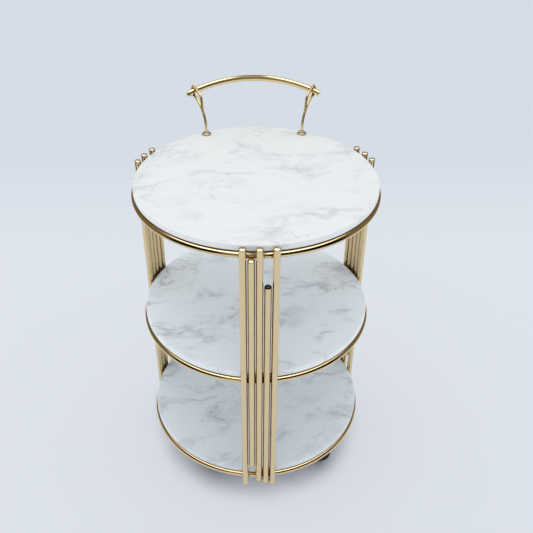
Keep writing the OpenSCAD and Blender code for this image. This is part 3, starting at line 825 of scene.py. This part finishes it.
def flangeMesh(radius, thickness, collar, height, hole, foot, rim, fillet, lip):
    outline = [(hole, 0)] + arc(radius - foot, foot, foot, -90, 0, 3)
    outline += arc(radius - rim, thickness - rim, rim, 0, 80, 6)
    outline += arc(collar + fillet, thickness + fillet, fillet, -90, -180, 6)
    outline += arc(collar - lip, height - lip, lip, 0, 90, 5) + [(hole, height)]
    return turnedMesh("flange", outline, 56, loop=True)


footPlaces = [ringPoint(handle["footRadius"], side * handle["footAngle"], topFace) for side in (1, -1)]
piece = copiesAt("handleFlanges", flangeMesh(**flange), footPlaces, paleLitGold)
finishPiece(piece, "trolley_frame", "polished_gold", "handle_flanges")
print("handle bent")


# nuts and washers

footNut = {"acrossFlats": 8 * mm, "thickness": 4 * mm, "hole": 2.6 * mm}
footWasher = {"radius": 5 * mm, "hole": 2.6 * mm, "thickness": 1 * mm, "ease": 0.2 * mm}


def nutMesh(acrossFlats, thickness, hole, countersink=0.3 * mm):
    # hexagon nut: the part of a hexagonal prism inside a turned shape that chamfers its corners
    flat = acrossFlats / 2
    corner = flat / cos(pi / 6)
    chamfer = (corner - flat) * 1.1 * 0.6
    hexagon = [(corner * cos(pi / 6 + k * pi / 3), corner * sin(pi / 6 + k * pi / 3)) for k in range(6)]
    prism = plateMesh("hexagon", hexagon, 0, thickness)
    turned = turnedMesh("chamfer", [
        (hole + countersink, 0), (flat * 0.97, 0), (corner * 1.01, chamfer),
        (corner * 1.01, thickness - chamfer), (flat * 0.97, thickness), (hole + countersink, thickness),
        (hole, thickness - countersink), (hole, countersink)], 60, loop=True)
    return cutMesh(prism, turned, "INTERSECT")


footWasherMesh = flatRingMesh(**footWasher)
footWasherMesh.transform(Matrix.Translation((0, 0, footNut["thickness"])))
footHardware = joinMeshes("foot hardware", nutMesh(**footNut), footWasherMesh)
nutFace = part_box("handle_nuts")[0].z
piece = copiesAt("handleNuts", footHardware, [Vector((p.x, p.y, nutFace)) for p in footPlaces], zinc)
finishPiece(piece, "trolley_frame", "zinc_steel", "handle_nuts")


# casters: bracket, threaded stem, pressed fork, riveted axle, moulded wheel

bracketLow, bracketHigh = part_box("caster_brackets")
stemPlaces = {corner: boxCentre("stem_" + corner) for corner in corners}
axlePlaces = {corner: boxCentre("axle_" + corner) for corner in corners}
caster = {"bracketWidth": 40 * mm, "bracketEnd": 212.98 * mm, "stem": 4 * mm, "collar": 11 * mm,
          "collarHeight": 4 * mm, "washer": 1 * mm, "washerEase": 0.3 * mm,
          "crown": 3 * mm, "cheek": 2.5 * mm, "cheekRadius": 8 * mm, "forkWidth": 26.6 * mm,
          "crownRadius": 14.8 * mm, "fold": 2.8 * mm,
          "axle": 3 * mm, "rivet": 5 * mm, "rivetThickness": 2 * mm, "rivetEase": 1.3 * mm,
          "wheel": 24 * mm, "tyreWidth": 20 * mm, "tyre": 7 * mm, "hub": 6.6 * mm, "bore": 3.07 * mm,
          "pinHead": 5.5 * mm, "nutFlats": 13 * mm, "nut": 5 * mm, "pitch": 1.25 * mm,
          "bracketEdge": 0.7 * mm, "holeFit": 0.1 * mm}
stemRadiusPlace = (Vector((stemPlaces["front_right"].x, stemPlaces["front_right"].y, 0)) - hoopAxis).length
halfBracket = caster["bracketWidth"] / 2
bracketReach = asin(halfBracket / caster["bracketEnd"])
bracketOutline = [(caster["bracketEnd"] * cos(a), caster["bracketEnd"] * sin(a))
                  for a in (bracketReach * (k / 6 - 1) for k in range(13))]
bracketOutline += [(stemRadiusPlace + halfBracket * cos(a), halfBracket * sin(a))
                   for a in (pi / 2 + pi * k / 24 for k in range(25))]
bracketBase = plateMesh("bracket", bracketOutline, bracketLow.z, bracketHigh.z, edge=caster["bracketEdge"])
stemHeadings = [atan2(away.y, away.x) for away in (stemPlaces[corner] - hoopAxis for corner in corners)]
piece = copiesAt("casterBrackets", bracketBase, [hoopAxis] * 4, dullGold, headings=stemHeadings)
finishPiece(piece, "trolley_frame", "satin_gold", "caster_brackets")

stemHole = caster["stem"] + caster["holeFit"]
nutPlaces = [Vector((stemPlaces[corner].x, stemPlaces[corner].y, bracketHigh.z)) for corner in corners]
piece = copiesAt("casterNuts", nutMesh(caster["nutFlats"], caster["nut"], stemHole), nutPlaces, zinc)
finishPiece(piece, "trolley_frame", "zinc_steel", "caster_nuts")

swivelLow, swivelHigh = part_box("swivel_washers")
washerPlaces = [Vector((stemPlaces[corner].x, stemPlaces[corner].y, swivelLow.z)) for corner in corners]
washerBase = flatRingMesh(caster["collar"], stemHole, caster["washer"], caster["washerEase"])
piece = copiesAt("swivelWashers", washerBase, washerPlaces, zinc)
finishPiece(piece, "trolley_frame", "zinc_steel", "swivel_washers")


def threadOutline(radius, low, high, pitch):
    # rings stand in for the helix: at this size they look the same
    turns = int((high - low) / pitch)
    outline = []
    for k in range(turns):
        outline += [(radius, low + (k + 0.15) * pitch), (radius - 0.35 * pitch, low + (k + 0.65) * pitch)]
    return outline + [(radius * 0.8, high)]


def stemMesh(low, high):
    # swivel pin with its riveted head, then the collar, then the thread through the bracket and nut
    headEase, headHeight, footEase, shoulder, relief = 0.8 * mm, 2 * mm, 0.5 * mm, 1.2 * mm, 0.05 * mm
    radius, collar, head = caster["stem"], caster["collar"], caster["pinHead"]
    collarLow, collarTop = swivelHigh.z, swivelHigh.z + caster["collarHeight"]
    outline = [(0, low)] + arc(head - headEase, low + headEase, headEase, -90, 0, 5)
    outline += [(head, low + headHeight), (radius, low + headHeight), (radius, collarLow)]
    outline += arc(collar - footEase, collarLow + footEase, footEase, -90, 0, 4)
    outline += arc(collar - shoulder, collarTop - shoulder, shoulder, 0, 90, 5)
    outline += [(radius + relief, collarTop)]
    outline += threadOutline(radius, collarTop, high, caster["pitch"]) + [(0, high)]
    return turnedMesh("stem", outline, 48)


def forkMesh(trail, axleHeight, crownLow):
    # pressed from one sheet: a crown disc that folds down into two cheeks
    # X is the trail and the stem is at 0, 0; the cut shapes run past the finished faces
    past, drop = 1 * mm, 4 * mm
    half, thick, fold = caster["forkWidth"] / 2, caster["cheek"], caster["fold"]
    crownTop, reach = crownLow + caster["crown"], trail + caster["cheekRadius"]
    floor = axleHeight - caster["cheekRadius"] - past
    outer = [(half, floor)] + arc(half - fold, crownTop - fold, fold, 0, 90, 6)
    outer += arc(fold - half, crownTop - fold, fold, 90, 180, 6) + [(-half, floor)]
    inner = [(thick - half, floor), (thick - half, crownLow),
             (half - thick, crownLow), (half - thick, floor)]
    channel = plateMesh("channel", outer + inner, -past, reach + past)
    channel.transform(Matrix(((0, 0, 1, 0), (1, 0, 0, 0), (0, 1, 0, 0), (0, 0, 0, 1))))
    side = [(trail + caster["cheekRadius"] * cos(a), axleHeight + caster["cheekRadius"] * sin(a))
            for a in (-pi * k / 18 for k in range(19))]
    side += [(0, crownLow - drop), (0, crownTop + past), (reach, crownTop + past)]
    profile = plateMesh("side", side, -half - past, half + past, flat="XZ")
    pressed = cutMesh(channel, profile, "INTERSECT")
    rim, shoulder = caster["crownRadius"], 1.2 * mm
    crownOutline = [(0, crownLow), (rim - 0.3 * mm, crownLow), (rim, crownLow + 0.4 * mm)]
    crownOutline += arc(rim - shoulder, crownTop - shoulder, shoulder, 0, 90, 5) + [(0, crownTop)]
    return cutMesh(pressed, turnedMesh("crown", crownOutline, 64), "UNION")


def axleMesh():
    # plain axle with a domed rivet head at each end, along Z
    half, rivet, ease = caster["forkWidth"] / 2, caster["rivet"], caster["rivetEase"]
    end = half + caster["rivetThickness"]
    outline = [(0, -end)] + arc(rivet - ease, ease - end, ease, -90, 0, 5)
    outline += [(rivet, -half), (caster["axle"], -half), (caster["axle"], half), (rivet, half)]
    outline += arc(rivet - ease, end - ease, ease, 0, 90, 5) + [(0, end)]
    return turnedMesh("axle", outline, 40)


def coreMesh():
    # moulded wheel centre: hub, dished web and rim, with fillets where they meet
    rim, hub, bore = caster["wheel"] - caster["tyre"], caster["hub"], caster["bore"]
    chamfer, hubEase, fillet, rimEase = 0.4 * mm, 0.6 * mm, 1.2 * mm, 0.5 * mm
    halfHub, halfRim = caster["tyreWidth"] / 2 + 0.5 * mm, caster["tyreWidth"] / 2 - 1 * mm
    halfWeb, rimIn = 3.5 * mm, rim - 4 * mm
    upper = [(bore, halfHub - chamfer), (bore + chamfer, halfHub)]
    upper += arc(hub - hubEase, halfHub - hubEase, hubEase, 90, 0, 4)
    upper += arc(hub + fillet, halfWeb + fillet, fillet, 180, 270, 5)
    upper += arc(rimIn - fillet, halfWeb + fillet, fillet, 270, 360, 5)
    upper += arc(rimIn + rimEase, halfRim - rimEase, rimEase, 180, 90, 3)
    upper += arc(rim - rimEase, halfRim - rimEase, rimEase, 90, 0, 3)
    lower = [(r, -z) for r, z in reversed(upper)]
    return turnedMesh("core", upper + lower, 72, loop=True)


def tyreMesh():
    # rounded tread with a fine mould line round its middle
    mouldLine, coreFit = 0.06 * mm, 0.05 * mm
    inner, outer = caster["wheel"] - caster["tyre"] + coreFit, caster["wheel"] - mouldLine
    half, tread = caster["tyreWidth"] / 2, 0.4 * caster["tyre"]
    outline = [(inner, -half)] + arc(outer - tread, -half + tread, tread, -90, 0, 7)
    outline += [(outer, -0.5 * mm), (outer + mouldLine, 0), (outer, 0.5 * mm)]
    outline += arc(outer - tread, half - tread, tread, 0, 90, 7) + [(inner, half)]
    return turnedMesh("tyre", outline, 96, loop=True)


alongY = Matrix.Rotation(pi / 2, 4, "X")
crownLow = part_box("fork_front_right")[1].z - caster["crown"]
for corner in corners:
    words = "".join(word.capitalize() for word in corner.split("_"))
    stemPlace, axlePlace = stemPlaces[corner], axlePlaces[corner]
    stemLow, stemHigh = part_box("stem_" + corner)
    upright = Matrix.Translation((stemPlace.x, stemPlace.y, 0))
    wheelPlace = Matrix.Translation(axlePlace) @ alongY
    parts = (
        ("stem", stemMesh(stemLow.z, stemHigh.z), upright, zinc, "trolley_frame", "zinc_steel"),
        ("fork", forkMesh(axlePlace.x - stemPlace.x, axlePlace.z, crownLow), upright, powderCoat,
         "swivel_" + corner, "black_steel"),
        ("axle", axleMesh(), wheelPlace, zinc, "swivel_" + corner, "zinc_steel"),
        ("core", coreMesh(), wheelPlace, nylon, "wheel_" + corner, "black_nylon"),
        ("tyre", tyreMesh(), wheelPlace, rubber, "wheel_" + corner, "black_rubber"),
    )
    for word, mesh, place, finish, body, slot in parts:
        mesh.transform(place)
        finishPiece(meshPiece(word + words, mesh, finish), body, slot, f"{word}_{corner}")
print("casters hung")


# camera: fitted to the photograph

camera = {"beside": -25.7 * mm, "infront": -1104.7 * mm, "above": 611.7 * mm, "azimuth": radians(2.372),
          "pitch": radians(35.575), "roll": radians(-0.638), "lens": 46.62, "sensor": 36.0}
lens = bpy.data.cameras.new("photo camera")
lens.lens, lens.sensor_width, lens.sensor_fit = camera["lens"], camera["sensor"], "HORIZONTAL"
lens.clip_start, lens.clip_end = 0.01, 100
eye = bpy.data.objects.new("photo camera", lens)
bpy.context.scene.collection.objects.link(eye)
azimuth, pitch, roll = camera["azimuth"], camera["pitch"], camera["roll"]
forward = Vector((sin(azimuth) * cos(pitch), cos(azimuth) * cos(pitch), -sin(pitch)))
level = forward.cross(Vector((0, 0, 1))).normalized()
down = forward.cross(level)
across = level * cos(roll) + down * sin(roll)
below = down * cos(roll) - level * sin(roll)
turn = Matrix((across, -below, -forward)).transposed().to_4x4()
place = hoopAxis + Vector((camera["beside"], camera["infront"], tierHeight["top"] + camera["above"]))
eye.matrix_world = Matrix.Translation(place) @ turn
bpy.context.scene.camera = eye


# studio: a pale paper floor and a soft room

studio = {"floor": "888A8C", "fibre": 4 * mm, "floorGlow": "BCC0C7",
          "farGlow": "B0B6BF", "farFrom": (0.7, 1.3),
          "shadeGlow": "4A4850", "shadeReach": 96 * mm, "shadeOpen": (0.4, 0.8),
          "backdrop": "DCE2EB", "overhead": "EFF1F4", "overheadLight": 1.03,
          "level": "E2E9F2", "levelLight": 1.8, "facing": "E2E9F2", "facingLight": 0.85, "keyPower": 3.0,
          "paper": ((-1.2, -2), (1.2, -2), (1.2, 0.3), (4.5, 7), (-4.5, 7), (-1.2, 0.3))}


def paperFloor():
    # matt pale paper that glows as painted light, with a painted shadow close under the trolley, and
    # painted shade making it darker well behind it
    material, tree, shader, place = startMaterial("matt studio paper")
    fibre = addNoise(tree, place, studio["fibre"], 3)["Fac"]
    behind = addNode(tree, "ShaderNodeSeparateXYZ", inputs={0: place}).outputs["Y"]
    glow = blend(tree, mapRange(tree, behind, *studio["farFrom"], 0, 1),
                 linearColour(studio["floorGlow"]), linearColour(studio["farGlow"]))
    # painted shadow: the glow darkens where the trolley hides the floor
    shaded = mapRange(tree, openness(tree, studio["shadeReach"], 16), *studio["shadeOpen"], 1, 0)
    setInputs(tree, shader, {
        "Base Color": linearColour(studio["floor"]), "Roughness": 0.9, "Specular IOR Level": 0.1,
        "Emission Color": blend(tree, shaded, glow, linearColour(studio["shadeGlow"])),
        "Emission Strength": 1, "Normal": bumped(tree, fibre, 0.1 * mm, 0.1)})
    return material


floorMesh = bpy.data.meshes.new("floor")
floorMesh.from_pydata([(x, y, 0) for x, y in studio["paper"]], [], [tuple(range(len(studio["paper"])))])
floorMesh.materials.append(paperFloor())
standIn("floor", floorMesh)


def softRoom():
    # a pale room, lighter near the floor
    # polished metal sees another one: a dark front, dim sides and rear, and two softboxes above
    mirrored = {"softbox": 2.2, "ceiling": "8A8878", "front": "100E0A", "frontMiddle": "8C8268",
                "side": "7A7358", "rear": "766C55"}
    world = bpy.data.worlds.new("soft room")
    world.use_nodes = True
    tree = world.node_tree
    tree.nodes.clear()
    way = addNode(tree, "ShaderNodeLightPath").outputs
    direction = addNode(tree, "ShaderNodeSeparateXYZ", inputs={
        0: addNode(tree, "ShaderNodeTexCoord").outputs["Generated"]}).outputs

    def wall(name):
        return linearColour(mirrored[name])

    def glow(name):
        return tuple(c * studio[name + "Light"] for c in linearColour(studio[name])[:3]) + (1,)

    def between(value, low, high, first, second):
        return blend(tree, mapRange(tree, value, low, high, 0, 1), first, second)

    aside = calculate(tree, "ABSOLUTE", direction["X"])
    middleGap = calculate(tree, "ABSOLUTE", calculate(tree, "ADD", direction["X"], 0.18))
    front = between(middleGap, 0.22, 0.36, wall("frontMiddle"), wall("front"))
    walls = between(direction["Y"], -0.22, -0.08, front, wall("side"))
    walls = between(direction["Y"], 0.35, 0.6, walls, wall("rear"))
    boxes = between(aside, 0.06, 0.12, wall("ceiling"), (mirrored["softbox"],) * 3 + (1,))
    room = between(direction["Z"], 0.73, 0.8, walls, boxes)
    level = between(direction["Y"], -0.7, 0.1, glow("facing"), glow("level"))
    light = between(direction["Z"], 0.1, 0.7, level, glow("overhead"))
    lit = blend(tree, way["Is Glossy Ray"], light, room)
    colour = blend(tree, way["Is Camera Ray"], lit, linearColour(studio["backdrop"]))
    shine = addNode(tree, "ShaderNodeBackground", inputs={"Color": colour, "Strength": 1})
    addNode(tree, "ShaderNodeOutputWorld", inputs={"Surface": shine.outputs[0]})
    bpy.context.scene.world = world


def addSoftbox(name, location, target, width, height, power):
    light = bpy.data.lights.new(name, "AREA")
    light.shape, light.size, light.size_y, light.energy = "RECTANGLE", width, height, power
    lamp = bpy.data.objects.new(name, light)
    bpy.context.scene.collection.objects.link(lamp)
    aim = Vector(target) - Vector(location)
    lamp.matrix_world = Matrix.Translation(location) @ aim.to_track_quat("-Z", "Y").to_matrix().to_4x4()


softRoom()
addSoftbox("overhead softbox", (-0.7, 0.3, 2.4), (0, 0, 0.4), 1.8, 1.8, studio["keyPower"])
bpy.context.scene.view_settings.view_transform = "Standard"
print("studio lit")
